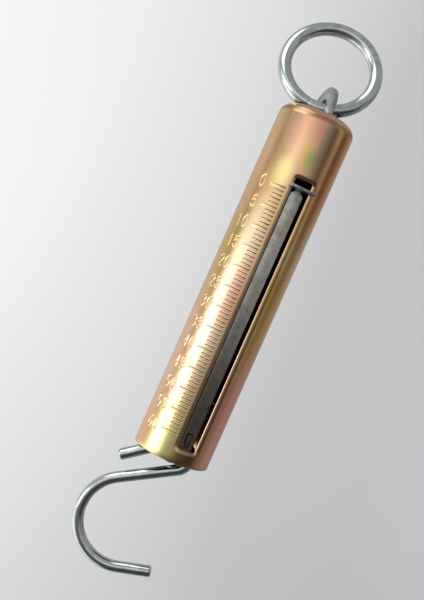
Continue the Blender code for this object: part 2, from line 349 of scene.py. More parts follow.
def yellowZinc():
    look = yellowZincLook
    skin = tubeShape["radius"]
    bore = skin - tubeShape["wall"]
    material, s = newMaterial("yellowZinc")
    x, y, z = s.axes(s.place())
    around = x.atan2(-y) * (180.0 / math.pi)
    down = (tubeTop - z) * toMm
    radius = (x * x + y * y) ** 0.5 * toMm
    # the passivation film's drift of hue, in long soft patches
    film = s.noise(s.place((1.0, 1.0, 0.38)), look["filmScale"], 3.0, 0.55, 0.6)
    colour = s.ramp(film, [
        (0.30, look["olive"]), (0.44, look["gold"]), (0.54, look["straw"]),
        (0.62, look["peach"]), (0.70, look["pink"]), (0.80, look["gold"]),
    ])
    colour = s.mix(look["calm"], colour, look["gold"])
    # hue patches of the passivation film, and one painted highlight on the lit side
    for angle, depth, reachAngle, reachDepth, tint, strength in look["tintsAndPaintedHighlight"]:
        away = (around - angle) / reachAngle
        below = (down - depth) / reachDepth
        patch = (1.0 - (away * away + below * below)).clamp()
        colour = s.mix(patch * (2.0 - patch) * patch * strength, colour, tint)
    # fine mottling and the lengthwise lines of drawn tube
    mottle = s.noise(s.place((1.0, 1.0, 0.7)), look["mottleScale"], 4.0, 0.6)
    drawnAlong = s.join(around * look["linesAround"], radius, down * look["linesDown"])
    lines = s.noise(drawnAlong, 1.0, 3.0, 0.7)
    colour = s.mix((mottle - 0.45).clamp() * 0.8, colour, s.mix(0.35, colour, look["fleck"]))
    # grime in the stamped marks, more of it lower down, and a painted shadow in the mouth
    nearSlot = (x * toMm).absolute().bump(tubeShape["slotHalf"], 1.6)
    nearSlot = nearSlot * (-y * toMm).rise(11.0, 13.0) * down.rise(26.0, 28.0)
    offSlot = 1.0 - nearSlot
    sunk = ((skin - 0.01 - radius) / 0.16).clamp() * ((skin - 0.8 - radius) * -4.0).clamp() * offSlot
    share = look["darkeningShare"] + down.rise(40.0, 110.0) * look["moreBelow"]
    colour = s.mix(sunk * share, colour, look["grimeAndShade"])
    # painted shadow: the mouth's rim and the top of the shoulder darkened where the ring sits
    mouth = (skin - 2.4 - radius).rise(0.0, 1.8) * (3.0 - down).rise(0.0, 1.5)
    colour = s.mix(mouth * look["mouthShadowShare"], colour, look["grimeAndShade"])
    # a painted highlight on the tops of the raised figures, painted shade on the slot's rolled edge, and
    # painted shade that makes the bore dark
    proud = ((radius - (skin + 0.03)) / 0.12).clamp()
    colour = s.mix(proud * look["figureHighlightShare"], colour, look["figureHighlight"])
    # painted shade on the slot's rolled edge, dimming the reflection it catches
    lipShadeMask = nearSlot * (skin - 0.4 - radius).rise(0.0, 0.5)
    colour = s.mix(lipShadeMask * look["lipShadeShare"], colour, look["lipShade"])
    # painted shade: the bore's inner face darkened below the mouth
    inside = (bore + 0.1 - radius).rise(0.0, 0.1) * down.rise(5.0, 6.0) * offSlot
    colour = s.mix(inside * look["boreShadeShare"], colour, look["bore"])
    # short scuffs that run round the tube
    rubbedRound = s.join(around * look["scuffAround"], down * look["scuffDown"], radius)
    scuffs = s.noise(rubbedRound, 1.0, 2.0, 0.8).rise(0.66, 0.74)
    rough = look["roughness"] + (lines - 0.5) * look["linesRough"] + (mottle - 0.5) * look["mottleRough"]
    rough = rough + sunk * look["darkeningRough"] + scuffs * look["scuffRough"]
    height = lines * 0.6 + mottle * 0.25 - scuffs * 0.3
    surface(s, {
        "Base Color": colour, "Metallic": 1.0, "Roughness": rough.clamp(),
        "Normal": s.raised(height, look["reliefDepth"] * mm, look["relief"]),
    })
    return material


zincLook = {
    "brightZinc": {
        "base": (0.64, 0.70, 0.69), "shade": (0.50, 0.55, 0.55), "warm": (0.68, 0.68, 0.60),
        "roughness": 0.15, "patch": 190.0, "relief": 0.25,
    },
    "plateZinc": {
        "base": (0.52, 0.56, 0.56), "shade": (0.30, 0.33, 0.33), "warm": (0.58, 0.56, 0.48),
        "roughness": 0.30, "patch": 260.0, "relief": 0.5,
        "grimeAndShade": (0.10, 0.085, 0.065), "darkeningShare": 0.85, "darkeningRough": 0.2,
        "lugFront": (12.0, 12.8), "lugDepth": (134.0, 136.0),  # mm from the axis and from the tube's top
    },
    "stripZinc": {
        "base": (0.90, 0.91, 0.84), "shade": (0.66, 0.66, 0.60), "warm": (0.50, 0.44, 0.34),
        "roughness": 0.42, "patch": 210.0, "relief": 0.5,
        "grimeAndShade": (0.15, 0.115, 0.085), "darkeningShare": 0.86, "darkeningRough": 0.1,
        "darkeningDepth": (58.0, 132.0),  # mm from the tube's top
    },
}
# the same for all three
zincWear = {
    "pit": (0.12, 0.12, 0.11), "pitShare": 0.45, "grainFiner": 9.0, "pitFiner": 4.0,
    "cloudRough": 0.44, "grainRough": 0.20, "pitRough": 0.30, "reliefDepth": 0.03,
}


def zinc(name):
    look, wear = zincLook[name], zincWear
    material, s = newMaterial(name)
    place = s.place()
    cloud = s.noise(place, look["patch"], 4.0, 0.6, 0.4)
    grain = s.noise(place, look["patch"] * wear["grainFiner"], 3.0, 0.6)
    pits = s.noise(place, look["patch"] * wear["pitFiner"], 2.0, 0.5).rise(0.64, 0.72)
    colour = s.mix(cloud.rise(0.38, 0.68), look["base"], look["shade"])
    colour = s.mix(cloud.rise(0.30, 0.42) * -0.35 + 0.35, colour, look["warm"])
    colour = s.mix(pits * wear["pitShare"], colour, wear["pit"])
    uneven = (cloud - 0.5) * wear["cloudRough"] + (grain - 0.5) * wear["grainRough"] + pits * wear["pitRough"]
    rough = look["roughness"] + uneven * look["relief"]
    if "grimeAndShade" in look:
        x, y, z = s.axes(place)
        down = (tubeTop - z) * toMm
        if name == "plateZinc":  # darker on the front of the load plate's lug
            darkenedMask = (y * -toMm).rise(*look["lugFront"]) * down.rise(*look["lugDepth"])
        else:  # darker down the strip, towards its lower end
            darkenedMask = down.rise(*look["darkeningDepth"])
        colour = s.mix(darkenedMask * look["darkeningShare"], colour, look["grimeAndShade"])
        rough = rough + darkenedMask * look["darkeningRough"]
    surface(s, {
        "Base Color": colour, "Metallic": 1.0, "Roughness": rough.clamp(),
        "Normal": s.raised(cloud * 0.5 + grain * 0.35 - pits, wear["reliefDepth"] * mm, look["relief"]),
    })
    return material


oiledSteelLook = {
    "base": (0.075, 0.072, 0.070), "rust": (0.16, 0.08, 0.045), "rustShare": 0.6,
    "patch": 240.0, "grain": 1900.0, "roughness": 0.34, "uneven": 0.3, "oil": 0.7,
}


def oiledSteel():
    look = oiledSteelLook
    material, s = newMaterial("oiledSteel")
    cloud = s.noise(s.place(), look["patch"], 4.0, 0.6)
    grain = s.noise(s.place(), look["grain"], 3.0, 0.6)
    colour = s.mix(cloud.rise(0.56, 0.72) * look["rustShare"], look["base"], look["rust"])
    rough = look["roughness"] + (cloud - 0.5) * look["uneven"]
    surface(s, {
        "Base Color": colour, "Metallic": 0.9, "Roughness": rough.clamp(),
        "Coat Weight": (look["oil"] - cloud).clamp(), "Coat Roughness": 0.15,
        "Normal": s.raised(grain, 0.02 * mm, 0.3),
    })
    return material


# lengths in mm, angles in degrees from the slot's middle line
tubeShape = {
    "radius": 16.0, "wall": 1.2, "length": 150.0, "shoulder": 5.0, "rim": 0.28,
    "slotHalf": 4.0, "slotTop": 28.4, "slotBottom": 143.6, "slotCorner": 0.8,
    "cornerSteps": (0.1, 0.3, 0.55, 0.8),
    "lipWidth": 1.75, "lipDepth": 1.0,  # the punched slot's edge is rolled inwards
    "lipSteps": (0.03, 0.08, 0.16, 0.28, 0.44, 0.66, 0.92, 1.22, 1.5, 1.75),
    "slotColumns": (0.0, 3.0, 6.0, 9.0), "plainColumn": 24.0, "plainStep": 4.0,
    # the fine run holds the scale
    "fineLeft": -83.0, "fineRight": -21.4, "fineTop": 30.6, "fineBottom": 141.9,
    "fineStep": 0.15, "fineAngle": 0.60,
    "plainDepths": (8, 11, 14, 17, 20, 23, 25.5), "slotDepth": 33.5, "slotStep": 3.0, "slotEnd": 140.0,
    "underSlot": 147.2,
}
scaleMarks = {
    "zero": 34.1, "pitch": 8.73, "majors": 13, "minorsEach": 5,
    "right": -21.9, "minorLeft": -36.9, "majorLeft": -46.5, "endFade": 1.6,
    "halfWidth": 0.28, "majorWider": 1.15, "depth": 0.17, "lip": 0.035, "lipAt": 1.35, "lipReach": 0.13,
    "stepEach": 5, "onesAt": -60.5, "tensAt": -72.6,
    "digitHeight": 4.7, "digitWidth": 2.15, "strokeHalf": 0.23, "strokeReach": 1.6, "proud": 0.17,
    "moat": 0.03, "moatAt": 2.1, "moatReach": 0.2,  # the skin dips a little round a figure
    # the marks fade out towards the fine run's edges, over mm and then over degrees
    "fadeTop": 0.5, "fadeBottom": 0.4, "fadeLeft": 1.2, "fadeRight": 0.4,
}


# points on part of an ellipse, from start to end in degrees
def arcPoints(cx, cy, rx, ry, start, end, steps):
    turns = [math.radians(start + (end - start) * i / steps) for i in range(steps + 1)]
    return [(cx + rx * math.cos(turn), cy + ry * math.sin(turn)) for turn in turns]


# strokes of the figures in a box one wide and one high, y up
figureStrokes = {
    "0": [arcPoints(0.5, 0.5, 0.5, 0.5, 0, 360, 20)],
    "1": [[(0.18, 0.78), (0.55, 1.0), (0.55, 0.0)]],
    "2": [arcPoints(0.5, 0.73, 0.48, 0.27, 165, -25, 10) + [(0.04, 0.0), (1.0, 0.0)]],
    "3": [arcPoints(0.46, 0.75, 0.46, 0.25, 150, -85, 10), arcPoints(0.46, 0.26, 0.52, 0.26, 85, -150, 11)],
    "4": [[(0.74, 0.0), (0.74, 1.0), (0.02, 0.30), (1.0, 0.30)]],
    "5": [[(0.92, 1.0), (0.20, 1.0), (0.12, 0.55)] + arcPoints(0.46, 0.32, 0.52, 0.32, 130, -150, 12)],
    "6": [arcPoints(0.86, 0.36, 0.84, 0.64, 100, 180, 8) + arcPoints(0.5, 0.31, 0.48, 0.31, 180, 540, 16)],
}


def smooth(t):
    t = np.clip(t, 0.0, 1.0)
    return t * t * (3 - 2 * t)


# signed distance in mm from the slot's edge, on the tube's front: positive outside
def fromSlot(around, down):
    shape = tubeShape
    half = (shape["slotBottom"] - shape["slotTop"]) / 2
    middle = (shape["slotBottom"] + shape["slotTop"]) / 2
    across = np.abs(shape["radius"] * np.sin(around)) - shape["slotHalf"] + shape["slotCorner"]
    farAway = 30.0  # the tube's back has no slot
    across = np.where(np.cos(around) > 0, across, farAway)
    along = np.abs(down - middle) - half + shape["slotCorner"]
    outside = np.hypot(np.maximum(across, 0), np.maximum(along, 0))
    return outside + np.minimum(np.maximum(across, along), 0) - shape["slotCorner"]


# how far the skin is rolled in near the slot's edge
def rolledIn(away):
    steepest = 0.985  # short of 1, so that the skin never stands upright
    t = np.clip(1 - away / tubeShape["lipWidth"], 0, 1) * steepest
    return tubeShape["lipDepth"] * (1 - np.sqrt(1 - t * t))


# distance in mm from points to a figure's strokes, drawn wide by high
def fromStrokes(px, py, strokes, wide, high):
    gap = np.full(px.shape, 9.0)
    for stroke in strokes:
        for (ax, ay), (bx, by) in zip(stroke, stroke[1:]):
            ax, bx = ax * wide, bx * wide
            ay, by = ay * high, by * high
            dx, dy = bx - ax, by - ay
            t = np.clip(((px - ax) * dx + (py - ay) * dy) / max(dx * dx + dy * dy, 1e-9), 0, 1)
            gap = np.minimum(gap, np.hypot(px - ax - t * dx, py - ay - t * dy))
    return gap


# how far the stamped lines and figures move the skin, in mm, at an angle in radians and a depth in mm
def stamped(around, down):
    marks = scaleMarks
    angle = np.degrees(around)
    height = np.zeros_like(down)
    step = marks["pitch"] / marks["minorsEach"]
    place = (down - marks["zero"]) / step
    nearest = np.clip(np.round(place), 0, (marks["majors"] - 1) * marks["minorsEach"])
    off = np.abs(down - marks["zero"] - nearest * step)
    major = np.mod(nearest, marks["minorsEach"]) < 0.5
    left = np.where(major, marks["majorLeft"], marks["minorLeft"])
    half = np.where(major, marks["majorWider"], 1.0) * marks["halfWidth"]
    fade = marks["endFade"]
    span = smooth((angle - left) / fade + 0.5) * smooth((marks["right"] - angle) / fade + 0.5)
    groove = np.clip(1 - (off / half) ** 2, 0, 1)
    lip = np.exp(-((off - half * marks["lipAt"]) / marks["lipReach"]) ** 2)
    height += span * (marks["lip"] * lip - marks["depth"] * groove ** 1.5)
    wide, high = marks["digitWidth"], marks["digitHeight"]
    for number in range(marks["majors"]):
        label = str(number * marks["stepEach"])
        centre = marks["zero"] + number * marks["pitch"]
        for figure, middle in zip(label[::-1], (marks["onesAt"], marks["tensAt"])):
            x = (np.radians(angle - middle) * tubeShape["radius"]) / wide + 0.5
            y = (centre - down) / high + 0.5
            near = (np.abs(x - 0.5) < 1.0) & (np.abs(y - 0.5) < 0.85)  # the figure's box and a little more
            if not near.any():
                continue
            gap = fromStrokes(x[near] * wide, y[near] * high, figureStrokes[figure], wide, high)
            ridge = smooth(marks["strokeReach"] - gap / marks["strokeHalf"])
            moat = np.exp(-((gap - marks["strokeHalf"] * marks["moatAt"]) / marks["moatReach"]) ** 2)
            height[near] += marks["proud"] * ridge - marks["moat"] * moat
    return height


# columns of points, as angles from the slot's middle line in degrees
def tubeColumns(edge):
    shape = tubeShape
    half, radius = shape["slotHalf"], shape["radius"]
    corner = [math.degrees(math.asin((half - d) / radius)) for d in shape["cornerSteps"]]
    rolled = [math.degrees(math.asin((half + d) / radius)) for d in shape["lipSteps"]]
    first, last = shape["fineLeft"], shape["fineRight"]
    fine = list(np.linspace(first, last, int((last - first) / shape["fineAngle"]) + 1))
    right = list(shape["slotColumns"]) + corner + [edge] + rolled
    left = [-a for a in right if a > 0]
    plain = list(np.arange(shape["plainColumn"], 360.0 + first - 1.0, shape["plainStep"]))
    return np.array(sorted(fine + left + right + plain))


# rows of points, from the mouth down: radius and depth of the outer skin, then of the inner
def tubeRows():
    shape = tubeShape
    radius, wall, rim, bend = shape["radius"], shape["wall"], shape["rim"], shape["shoulder"]
    mouth, innerBend = radius - bend, bend - wall
    # the mouth's rounded rim, then the bend of the shoulder
    rows = [(mouth, rim + 0.25, mouth, wall - rim + 0.05), (mouth + 0.06, 0.16, mouth + 0.06, wall - 0.08)]
    bendSteps = 12
    for i in range(1, bendSteps + 1):
        turn = math.radians(90 * (1 - i / bendSteps))
        rows.append((
            mouth + bend * math.cos(turn), bend - bend * math.sin(turn),
            mouth + innerBend * math.cos(turn), bend - innerBend * math.sin(turn),
        ))
    top, bottom, end = shape["slotTop"], shape["slotBottom"], shape["length"]
    depths = list(shape["plainDepths"]) + [top - d for d in reversed(shape["lipSteps"])]
    depths += [top] + [top + d for d in shape["cornerSteps"]]
    depths += [shape["fineTop"]] + list(np.arange(shape["slotDepth"], shape["slotEnd"], shape["slotStep"]))
    depths += [shape["fineBottom"]] + [bottom - d for d in reversed(shape["cornerSteps"])]
    depths += [bottom] + [bottom + d for d in shape["lipSteps"]] + [shape["underSlot"], end - 0.5]
    rows += [(radius, d, radius - wall, d) for d in depths]
    # the plain end's rounded edge: how far in from the skin, and how far up from the end
    for inset, up in ((0.05, 0.16), (0.17, 0.04), (0.34, 0.0)):
        rows.append((radius - inset, end - up, radius - wall + inset, end - up))
    return np.array(rows)


# the skin's points in metres; the inner skin keeps the slot's straight-through walls
def tubeSkin(r, d, a, isOuter):
    innerShare = 0.7  # the inner skin is rolled in less
    straightReach = 1.5  # mm from the slot's edge
    away = fromSlot(a, d)
    r = r - rolledIn(away) * (1.0 if isOuter else innerShare)
    x = r * np.sin(a)
    if not isOuter:
        x = x + (tubeShape["radius"] * np.sin(a) - x) * (1 - smooth(np.abs(away) / straightReach))
    y = -np.sqrt(np.maximum(r * r - x * x, 0)) * np.sign(np.cos(a))
    y = np.where(np.abs(np.cos(a)) < 1e-9, 0.0, y)
    return np.stack([x * mm, y * mm, tubeTop - d * mm], axis=-1)


def caseTube():
    shape = tubeShape
    radius = shape["radius"]
    edge = math.degrees(math.asin(shape["slotHalf"] / radius))
    angles, rows = tubeColumns(edge), tubeRows()
    columnCount, rowCount = len(angles), len(rows)
    top, bottom = shape["slotTop"], shape["slotBottom"]
    fineTop, fineBottom = shape["fineTop"], shape["fineBottom"]

    def column(angle):
        return int(np.argmin(np.abs(angles - angle)))

    # the rows that are drawn in, at the mouth and at the plain end, are put out of reach
    def row(depth):
        outOfReach = (rows[:, 0] < radius - 0.01) * 50.0
        return int(np.argmin(np.abs(rows[:, 1] - depth) + outOfReach))

    slotLeft, slotRight, slotUp, slotDown = column(-edge), column(edge), row(top), row(bottom)
    fineLeft, fineRight = column(shape["fineLeft"]), column(shape["fineRight"])
    fineUp, fineDown = row(fineTop), row(fineBottom)

    around = np.radians(np.tile(angles, (rowCount, 1)))
    outerR, outerD, innerR, innerD = [np.repeat(rows[:, i:i + 1], columnCount, 1) for i in range(4)]
    # the slot's corners, pulled on to their arcs
    across = radius * np.sin(around)
    corner, hair = shape["slotCorner"], 1e-6
    for side in (-1, 1):
        for end, towards in ((top, 1), (bottom, -1)):
            centreX, centreD = side * (shape["slotHalf"] - corner), end + towards * corner
            edgeColumn = slotLeft if side < 0 else slotRight
            edgeRow = slotUp if towards > 0 else slotDown
            onEdge = np.zeros_like(around, bool)
            onEdge[edgeRow, :] = (across[edgeRow, :] - centreX) * side >= -hair
            onEdge[edgeRow, :] &= np.abs(across[edgeRow, :]) <= shape["slotHalf"] + hair
            onEdge[edgeRow, :] &= np.cos(around[edgeRow, :]) > 0
            beside = outerD[:, edgeColumn]
            inReach = np.abs(beside - centreD) <= corner + hair
            onEdge[:, edgeColumn] |= inReach & (beside * -towards >= -towards * centreD - hair)
            dx, dd = across - centreX, outerD - centreD
            far = np.maximum(np.hypot(dx, dd), hair)
            newX = centreX + dx / far * corner
            newD = centreD + dd / far * corner
            around = np.where(onEdge, np.arcsin(np.clip(newX / radius, -1, 1)), around)
            outerD = np.where(onEdge, newD, outerD)
            innerD = np.where(onEdge, newD, innerD)
    outer = tubeSkin(outerR, outerD, around, True)
    inner = tubeSkin(innerR, innerD, around, False)

    # fine rows of the scale, sharing the coarse rows' points
    fineDepths, coarseOf = [], {}
    for i in range(fineUp, fineDown):
        pieces = max(1, math.ceil((rows[i + 1, 1] - rows[i, 1]) / shape["fineStep"]))
        coarseOf[len(fineDepths)] = i
        fineDepths += [rows[i, 1] + (rows[i + 1, 1] - rows[i, 1]) * k / pieces for k in range(pieces)]
    coarseOf[len(fineDepths)] = fineDown
    fineDepths.append(rows[fineDown, 1])
    gridA, gridD = np.meshgrid(np.radians(angles[fineLeft:fineRight + 1]), np.array(fineDepths))
    lift = stamped(gridA, gridD)
    marks = scaleMarks
    lift *= smooth((gridD - fineTop) / marks["fadeTop"]) * smooth((fineBottom - gridD) / marks["fadeBottom"])
    lift *= smooth((np.degrees(gridA) - shape["fineLeft"]) / marks["fadeLeft"])
    lift *= smooth((shape["fineRight"] - np.degrees(gridA)) / marks["fadeRight"])
    gridR = radius + lift - rolledIn(fromSlot(gridA, gridD))
    gridX, gridY = gridR * np.sin(gridA) * mm, -gridR * np.cos(gridA) * mm
    gridPoints = np.stack([gridX, gridY, tubeTop - gridD * mm], axis=-1)

    points = [tuple(p) for p in outer.reshape(-1, 3)] + [tuple(p) for p in inner.reshape(-1, 3)]
    outerId = np.arange(rowCount * columnCount).reshape(rowCount, columnCount)
    innerId = outerId + rowCount * columnCount
    fineId = np.zeros(gridA.shape, int)
    for k in range(gridA.shape[0]):
        for j in range(gridA.shape[1]):
            if k in coarseOf:
                fineId[k, j] = outerId[coarseOf[k], fineLeft + j]
                points[fineId[k, j]] = tuple(gridPoints[k, j])
            else:
                fineId[k, j] = len(points)
                points.append(tuple(gridPoints[k, j]))

    faces = []
    fineRowOf = {coarse: k for k, coarse in coarseOf.items()}
    for i in range(rowCount - 1):
        inFineRows = fineUp <= i < fineDown
        for j in range(columnCount):
            n = (j + 1) % columnCount
            if slotUp <= i < slotDown and slotLeft <= j < slotRight:
                continue
            faces.append((innerId[i, j], innerId[i, n], innerId[i + 1, n], innerId[i + 1, j]))
            if inFineRows and fineLeft <= j < fineRight:
                continue
            # the faces beside the fine run take in all its points
            if inFineRows and j == fineRight:
                between = [fineId[k, -1] for k in range(fineRowOf[i], fineRowOf[i + 1] + 1)]
                faces.append((*between, outerId[i + 1, n], outerId[i, n]))
            elif inFineRows and n == fineLeft:
                between = [fineId[k, 0] for k in range(fineRowOf[i], fineRowOf[i + 1] + 1)]
                faces.append((outerId[i, j], outerId[i + 1, j], *reversed(between)))
            else:
                faces.append((outerId[i, j], outerId[i + 1, j], outerId[i + 1, n], outerId[i, n]))
    for k in range(gridA.shape[0] - 1):
        for j in range(gridA.shape[1] - 1):
            faces.append((fineId[k, j], fineId[k + 1, j], fineId[k + 1, j + 1], fineId[k, j + 1]))

    # a face across the wall, between two neighbouring points of a cut edge
    def closeWall(here, there):
        faces.append((outerId[here], innerId[here], innerId[there], outerId[there]))

    for j in range(columnCount):
        n = (j + 1) % columnCount
        closeWall((0, n), (0, j))
        closeWall((-1, j), (-1, n))
    for i in range(slotUp, slotDown):
        closeWall((i, slotLeft), (i + 1, slotLeft))
        closeWall((i + 1, slotRight), (i, slotRight))
    for j in range(slotLeft, slotRight):
        closeWall((slotUp, j + 1), (slotUp, j))
        closeWall((slotDown, j), (slotDown, j + 1))
    faces = [tuple(int(v) for v in face) for face in faces]
    tube = newPiece("caseTube", points, faces, tubeFinish, 46.0)
    # the points inside the slot are in no face, and go
    clean = bmesh.new()
    clean.from_mesh(tube.data)
    loose = [v for v in clean.verts if not v.link_faces]
    bmesh.ops.delete(clean, geom=loose, context="VERTS")
    bmesh.ops.recalc_face_normals(clean, faces=clean.faces)
    clean.to_mesh(tube.data)
    clean.free()
    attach(tube, "case")
    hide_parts("case_tube")
    return tube


tubeFinish = yellowZinc()
wireFinish = zinc("brightZinc")
plateFinish = zinc("plateZinc")
stripFinish = zinc("stripZinc")
springFinish = oiledSteel()
print("materials made")

tube = caseTube()
print("tube made,", len(tube.data.polygons), "faces")


# lengths in mm, angles in degrees; inset keeps the wire's skin inside its box
ringShape = {
    "wire": 5.5, "outer": 43.8, "lean": 11.4, "tilt": 19.5, "steps": 200, "sides": 32, "inset": 0.02,
    "seamAt": 188.0, "seamDepth": 0.35, "seamWidth": 1.1, "ovalBy": 0.05, "lobedBy": 0.03,
}
wirePlaneYaw = -19.1  # the plane that the ring and the hook lie in


def hangingRing():
    shape = ringShape
    centreRadius = (shape["outer"] - shape["wire"]) / 2
    yaw, tilt = math.radians(wirePlaneYaw), math.radians(-shape["tilt"])
    stand = Matrix.Rotation(yaw, 3, "Z") @ Matrix.Rotation(tilt, 3, "X")
    lean = math.radians(shape["lean"])
    middle = Vector((-centreRadius * math.sin(lean), 0.0, centreRadius * math.cos(lean)))
    points, faces = [], []
    steps, sides = shape["steps"], shape["sides"]
    for i in range(steps):
        turn = 2 * math.pi * i / steps
        # the bent wire is a little out of round, and its butted ends leave a fine seam
        oval = shape["ovalBy"] * math.cos(2 * turn + 0.6)
        bend = centreRadius + oval + shape["lobedBy"] * math.cos(3 * turn)
        fromSeam = abs((math.degrees(turn) - shape["seamAt"] + 180) % 360 - 180)
        seam = shape["seamDepth"] * math.exp(-(fromSeam / shape["seamWidth"]) ** 2)
        thick = shape["wire"] / 2 - shape["inset"] - seam
        outward = Vector((math.sin(turn), 0.0, math.cos(turn)))
        for j in range(sides):
            spin = 2 * math.pi * j / sides
            sideways = Vector((0.0, thick * math.sin(spin), 0.0))
            spot = middle + outward * (bend + thick * math.cos(spin)) + sideways
            points.append((stand @ spot) * mm)
    for i in range(steps):
        for j in range(sides):
            a, b = (i + 1) % steps, (j + 1) % sides
            faces.append((i * sides + j, i * sides + b, a * sides + b, a * sides + j))
    ring = newPiece("hangingRing", points, faces, wireFinish, 60.0)
    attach(ring, "ring")
    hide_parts("hanging_ring")


hookShape = {
    "wire": 4.8, "bendOffset": 2.3, "bendDepth": 150.0, "bendRadius": 5.8, "bendAngle": 186.4,
    "stub": 22.7, "stubHeading": 37.4, "shank": 25.2, "bowlRadius": 18.6, "bowlAngle": 165.0, "tip": 14.2,
    "endRound": 1.1, "endSteps": 5, "runStep": 0.9, "turnStep": 3.2, "sides": 32, "inset": 0.02,
}


# points along the hook's wire in its own plane, in mm from the middle of the bend in its eye
def hookLine():
    shape = hookShape
    place = np.zeros(2)
    points = [place]
    heading = math.radians(shape["stubHeading"])
    moves = [
        ("run", shape["stub"]), ("turn", shape["bendRadius"], -shape["bendAngle"]),
        ("run", shape["shank"]), ("turn", shape["bowlRadius"], shape["bowlAngle"]), ("run", shape["tip"]),
    ]
    bendCentre = None
    for move in moves:
        along = np.array([math.cos(heading), math.sin(heading)])
        if move[0] == "run":
            steps = max(2, round(move[1] / shape["runStep"]))
            points += [place + along * move[1] * i / steps for i in range(1, steps + 1)]
        else:
            side = math.copysign(1.0, move[2])
            centre = place + side * move[1] * np.array([-along[1], along[0]])
            if bendCentre is None:
                bendCentre = centre
            steps = max(24, round(abs(move[2]) / shape["turnStep"]))
            for i in range(1, steps + 1):
                turn = math.radians(move[2]) * i / steps
                spin = np.array([[math.cos(turn), -math.sin(turn)], [math.sin(turn), math.cos(turn)]])
                points.append(centre + spin @ (place - centre))
            heading += math.radians(move[2])
        place = points[-1]
    return [p - bendCentre for p in points]


def loadHook():
    shape = hookShape
    yaw = math.radians(wirePlaneYaw)
    across = np.array([math.cos(yaw), math.sin(yaw), 0.0])
    base = across * shape["bendOffset"] * mm + np.array([0.0, 0.0, tubeTop - shape["bendDepth"] * mm])
    line = [base + (across * p[0] + np.array([0.0, 0.0, p[1]])) * mm for p in hookLine()]
    radius = (shape["wire"] / 2 - shape["inset"]) * mm
    line, radii = roundedEnds(line, radius, shape["endRound"] * mm, shape["endSteps"])
    hook = sweptWire("loadHook", line, radii, shape["sides"], wireFinish, 60.0)
    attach(hook, "hook")
    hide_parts("load_hook")


hangingRing()
loadHook()
print("ring and hook made")


springShape = {
    "wire": 3.2, "meanRadius": 9.05, "turns": 30.5, "upperEye": 12.5, "lowerEye": 133.5, "eyeLoop": 200.0,
    "stepsATurn": 30, "loopSteps": 26, "endRound": 0.4, "endSteps": 3, "sides": 14, "inset": 0.03,
}


def mainSpring():
    shape = springShape
    radius = shape["meanRadius"]
    top, bottom = -shape["upperEye"] - radius, -shape["lowerEye"] + radius
    loopSteps, steps = shape["loopSteps"], round(shape["turns"] * shape["stepsATurn"])
    line = []
    for i in range(loopSteps):
        angle = math.radians(shape["eyeLoop"] * (1 - i / loopSteps))
        line.append((radius * math.cos(angle), 0.0, top + radius * math.sin(angle)))
    for i in range(steps + 1):
        angle = 2 * math.pi * shape["turns"] * i / steps
        line.append((radius * math.cos(angle), radius * math.sin(angle), top + (bottom - top) * i / steps))
    for i in range(1, loopSteps + 1):
        angle = math.radians(180.0 + shape["eyeLoop"] * i / loopSteps)
        line.append((radius * math.cos(angle), 0.0, bottom + radius * math.sin(angle)))
    line = [np.array(p) * mm + np.array([0.0, 0.0, tubeTop]) for p in line]
    wireRadius = (shape["wire"] / 2 - shape["inset"]) * mm
    line, radii = roundedEnds(line, wireRadius, shape["endRound"] * mm, shape["endSteps"])
    spring = sweptWire("mainSpring", line, radii, shape["sides"], springFinish, 70.0)
    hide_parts("main_spring")
    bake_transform(spring)


mainSpring()
print("spring made")


shearedPlate("suspensionPlate", "suspension_plate", "case", 0.26 * mm, plateFinish)
shearedPlate("topCap", "top_cap", "case", 0.12 * mm, plateFinish)
shearedPlate("loadPlate", "load_plate", "carriage", 0.24 * mm, plateFinish)
shearedPlate("indexStrip", "index_strip", "carriage", 0.30 * mm, stripFinish, 3)
shearedPlate("pointer", "pointer", "carriage", 0.18 * mm, plateFinish)
print("plates made")


# lengths in metres; the painted glow, a painted pool of light, changes along one direction, and is strongest
# where it starts
stageShape = {
    "reach": 1.5, "floor": -0.46, "bend": 0.9, "bendSteps": 12, "wallTop": 2.4, "sides": 72,
    "colour": (0.66, 0.66, 0.675), "fibre": (0.61, 0.61, 0.625),
    "paintedGlowAlong": (1.036, -0.358, -0.008), "paintedGlowReach": 1.5,
    "paintedGlow": [(0.02, 0.64), (0.20, 0.56), (0.38, 0.41), (0.50, 0.29), (0.60, 0.19), (0.72, 0.16), (1.0, 0.17)],
}


# a round sweep: flat floor, a wide bend and a wall, pale from every side, with a painted glow that is
# brighter on one side
def stage():
    shape = stageShape
    profile = [(r, shape["floor"]) for r in (0.02, 0.3, 0.6)]
    centreR, centreZ = shape["reach"] - shape["bend"], shape["floor"] + shape["bend"]
    for i in range(shape["bendSteps"] + 1):
        turn = math.radians(-90 + 90 * i / shape["bendSteps"])
        profile.append((centreR + shape["bend"] * math.cos(turn), centreZ + shape["bend"] * math.sin(turn)))
    profile.append((shape["reach"], shape["wallTop"]))
    sides = shape["sides"]
    points = []
    for r, z in profile:
        for j in range(sides):
            turn = 2 * math.pi * j / sides
            points.append((r * math.cos(turn), r * math.sin(turn), z))
    faces = [tuple(range(sides))]
    for i in range(len(profile) - 1):
        for j in range(sides):
            n = (j + 1) % sides
            faces.append((i * sides + j, i * sides + n, (i + 1) * sides + n, (i + 1) * sides + j))
    material, s = newMaterial("paleSweep")
    place = s.place()
    paper = s.noise(place, 2.2, 2.0, 0.5)
    x, y, z = s.axes(place)
    along = shape["paintedGlowAlong"]
    across = (x * along[0] + y * along[1] + z * along[2]) / shape["paintedGlowReach"] + 0.5
    surface(s, {
        "Base Color": s.mix(paper * 0.25, shape["colour"], shape["fibre"]),
        "Roughness": 0.9, "Specular IOR Level": 0.1,
        # the emission paints light on the sweep: a glow, brighter on one side and fading across it
        "Emission Color": s.ramp(across, shape["paintedGlow"]), "Emission Strength": 1.0,
    })
    floor = newPiece("stageFloor", points, faces, material, 60.0)
    # the sweep neither lights the scale nor shades it
    floor.visible_glossy = False
    floor.visible_diffuse = False
    floor.visible_shadow = False


